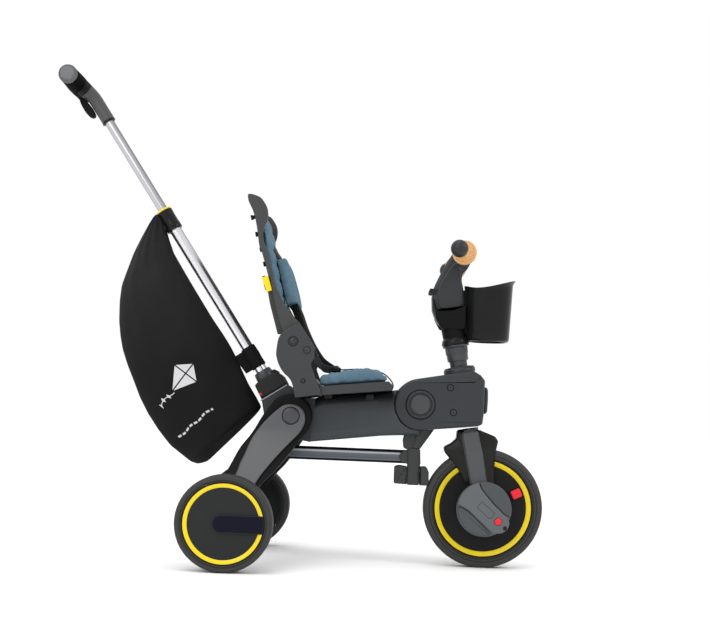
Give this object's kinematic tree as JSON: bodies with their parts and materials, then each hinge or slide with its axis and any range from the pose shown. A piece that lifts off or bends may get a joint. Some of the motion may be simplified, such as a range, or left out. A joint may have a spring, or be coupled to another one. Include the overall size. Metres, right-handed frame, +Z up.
{
  "type": "children's tricycle",
  "caption": "Folding children's tricycle with a padded seat and reclining backrest, a folding handlebar, a cup holder, folding pedals and a telescoping push bar with a storage bag",
  "frame": {"origin": "on the ground, at the middle of the bounding box", "axes": "+X forward, the way the rider faces; +Y to the rider's left; +Z up"},
  "size_m": [0.9928, 0.46, 0.9627],
  "materials": {
    "body_plastic": "satin charcoal plastic",
    "beam_plastic": "satin blue-grey plastic",
    "cover_plastic": "satin mid-grey plastic",
    "seat_plastic": "satin grey plastic",
    "black_plastic": "matte black plastic",
    "gloss_black": "semi-gloss black plastic",
    "yellow": "glossy yellow plastic",
    "red": "glossy red plastic",
    "tyre": "dark grey rubber with fine grooves",
    "wheel_disc": "matte black plastic",
    "tube": "brushed bright aluminium",
    "steel": "zinc-plated steel",
    "chrome": "bright chrome",
    "textile": "blue-grey woven fabric",
    "black_fabric": "black woven fabric",
    "wood": "pale varnished turned wood",
    "grip": "matte black rubber"
  },
  "bodies": {
    "frame": {"main_beam": "beam_plastic", "rear_housing": "body_plastic", "fold_shaft": "steel", "leg_pivot_shaft": "steel", "seat_pan": "seat_plastic", "seat_bracket_left": "seat_plastic", "seat_bracket_right": "seat_plastic", "bracket_bolts": "chrome", "seat_cushion": "textile"},
    "rear_legs": {"rear_leg_left": "black_plastic", "rear_leg_right": "black_plastic", "leg_covers": "cover_plastic", "rear_axles": "steel"},
    "rear_wheel_left": {"rear_tyre_left": "tyre", "rear_wheel_left": "wheel_disc", "rear_trim_ring_left": "yellow"},
    "rear_wheel_right": {"rear_tyre_right": "tyre", "rear_wheel_right": "wheel_disc", "rear_trim_ring_right": "yellow"},
    "front_end": {"front_housing_left": "body_plastic", "front_housing_right": "body_plastic", "head_block": "body_plastic", "housing_screws": "steel", "strut_bracket": "body_plastic"},
    "fold_button_left": {"fold_button_left": "black_plastic"},
    "fold_button_right": {"fold_button_right": "black_plastic"},
    "fold_strut": {"fold_strut": "tube"},
    "footrest_left": {"footrest_left": "body_plastic"},
    "footrest_right": {"footrest_right": "body_plastic"},
    "steering": {"steering_tube": "black_plastic", "fork": "body_plastic", "fender": "body_plastic", "stem_socket": "gloss_black"},
    "handlebar": {"stem_arm": "body_plastic", "crossbar": "tube", "wood_guards": "wood", "grips": "grip"},
    "cup_holder": {"cup_holder": "gloss_black"},
    "front_wheel": {"front_tyre": "tyre", "front_wheel": "wheel_disc", "front_trim_rings": "yellow", "crank_axle": "steel", "crank_discs": "cover_plastic"},
    "clutch_tab": {"clutch_tab": "red"},
    "pedal_left": {"pedal_left": "body_plastic"},
    "pedal_right": {"pedal_right": "body_plastic"},
    "pedal_button_left": {"pedal_button_left": "red"},
    "pedal_button_right": {"pedal_button_right": "red"},
    "mast_lower": {"mast_base": "body_plastic", "mast_outer_tube": "tube", "mast_collar": "black_plastic", "storage_bag": "black_fabric"},
    "mast_upper": {"mast_inner_tube": "tube", "push_grip": "grip"},
    "trigger": {"trigger": "black_plastic"},
    "backrest": {"backrest_shell": "seat_plastic", "backrest_cushion": "textile", "shoulder_pads": "textile"},
    "recline_lever": {"recline_lever": "yellow"}
  },
  "joints": [
    {"name": "front_fold", "type": "hinge", "parent": "frame", "child": "front_end", "pos_m": [0.2414, 0, 0.323], "axis": [0, 1, 0], "range_deg": [0, 48]},
    {"name": "rear_leg_fold", "type": "hinge", "parent": "frame", "child": "rear_legs", "pos_m": [-0.0146, 0, 0.291], "axis": [0, 1, 0], "range_deg": [-50, 0]},
    {"name": "rear_wheel_left_spin", "type": "hinge", "parent": "rear_legs", "child": "rear_wheel_left", "pos_m": [-0.1176, 0.21, 0.09], "axis": [0, 1, 0], "continuous": true},
    {"name": "rear_wheel_right_spin", "type": "hinge", "parent": "rear_legs", "child": "rear_wheel_right", "pos_m": [-0.1176, -0.21, 0.09], "axis": [0, 1, 0], "continuous": true},
    {"name": "fold_button_left_press", "type": "slide", "parent": "front_end", "child": "fold_button_left", "axis": [0, -1, 0], "range_m": [0, 0.004], "stiffness_N_per_m": 400},
    {"name": "fold_button_right_press", "type": "slide", "parent": "front_end", "child": "fold_button_right", "axis": [0, 1, 0], "range_m": [0, 0.004], "stiffness_N_per_m": 400},
    {"name": "fold_strut_swing", "type": "hinge", "parent": "front_end", "child": "fold_strut", "pos_m": [0.2184, 0, 0.217], "axis": [0, 1, 0], "range_deg": [-60, 0]},
    {"name": "footrest_left_flip", "type": "hinge", "parent": "front_end", "child": "footrest_left", "pos_m": [0.2314, 0.016, 0.166], "axis": [1, 0, 0], "range_deg": [-90, 0]},
    {"name": "footrest_right_flip", "type": "hinge", "parent": "front_end", "child": "footrest_right", "pos_m": [0.2314, -0.016, 0.166], "axis": [-1, 0, 0], "range_deg": [-90, 0]},
    {"name": "steering_turn", "type": "hinge", "parent": "front_end", "child": "steering", "pos_m": [0.3194, 0, 0.396], "axis": [-0.1822, 0, 0.9833], "range_deg": [-35, 35]},
    {"name": "handlebar_fold", "type": "hinge", "parent": "steering", "child": "handlebar", "pos_m": [0.2924, 0, 0.508], "axis": [0, 1, 0], "range_deg": [-85, 0]},
    {"name": "cup_lift", "type": "slide", "parent": "steering", "child": "cup_holder", "axis": [0.342, 0, 0.9397], "range_m": [0, 0.04]},
    {"name": "front_wheel_spin", "type": "hinge", "parent": "steering", "child": "front_wheel", "pos_m": [0.3764, 0, 0.12], "axis": [0, 1, 0], "continuous": true},
    {"name": "clutch_slide", "type": "slide", "parent": "front_wheel", "child": "clutch_tab", "axis": [-0.9107, 0, -0.4131], "range_m": [0, 0.006]},
    {"name": "pedal_left_fold", "type": "hinge", "parent": "front_wheel", "child": "pedal_left", "pos_m": [0.38722, 0.0452, 0.13337], "axis": [0.7771, 0, -0.6293], "range_deg": [-90, 0]},
    {"name": "pedal_right_fold", "type": "hinge", "parent": "front_wheel", "child": "pedal_right", "pos_m": [0.36558, -0.0452, 0.10663], "axis": [0.7771, 0, -0.6293], "range_deg": [-90, 0]},
    {"name": "pedal_button_left_press", "type": "slide", "parent": "front_wheel", "child": "pedal_button_left", "axis": [0, -1, 0], "range_m": [0, 0.0015], "stiffness_N_per_m": 200},
    {"name": "pedal_button_right_press", "type": "slide", "parent": "front_wheel", "child": "pedal_button_right", "axis": [0, 1, 0], "range_m": [0, 0.0015], "stiffness_N_per_m": 200},
    {"name": "mast_turn", "type": "hinge", "parent": "frame", "child": "mast_lower", "pos_m": [-0.0511, 0, 0.335], "axis": [-0.557, 0, 0.8305], "range_deg": [-18, 18]},
    {"name": "mast_slide", "type": "slide", "parent": "mast_lower", "child": "mast_upper", "axis": [-0.557, 0, 0.8305], "range_m": [-0.2, 0]},
    {"name": "trigger_squeeze", "type": "hinge", "parent": "mast_upper", "child": "trigger", "pos_m": [-0.46289, 0, 0.90408], "axis": [0, -1, 0], "range_deg": [0, 6], "stiffness_Nm_per_rad": 0.6},
    {"name": "backrest_recline", "type": "hinge", "parent": "frame", "child": "backrest", "pos_m": [-0.0106, 0, 0.434], "axis": [0, 1, 0], "range_deg": [-12, 60]},
    {"name": "recline_lever_lift", "type": "slide", "parent": "backrest", "child": "recline_lever", "axis": [-0.1176, 0, 0.9931], "range_m": [0, 0.008], "stiffness_N_per_m": 300}
  ],
  "couplings": [
    {"joint": "rear_leg_fold", "follows": "front_fold", "ratio": -1.04},
    {"joint": "fold_strut_swing", "follows": "front_fold", "ratio": -1.25},
    {"joint": "mast_turn", "follows": "steering_turn", "ratio": 0.5}
  ]
}
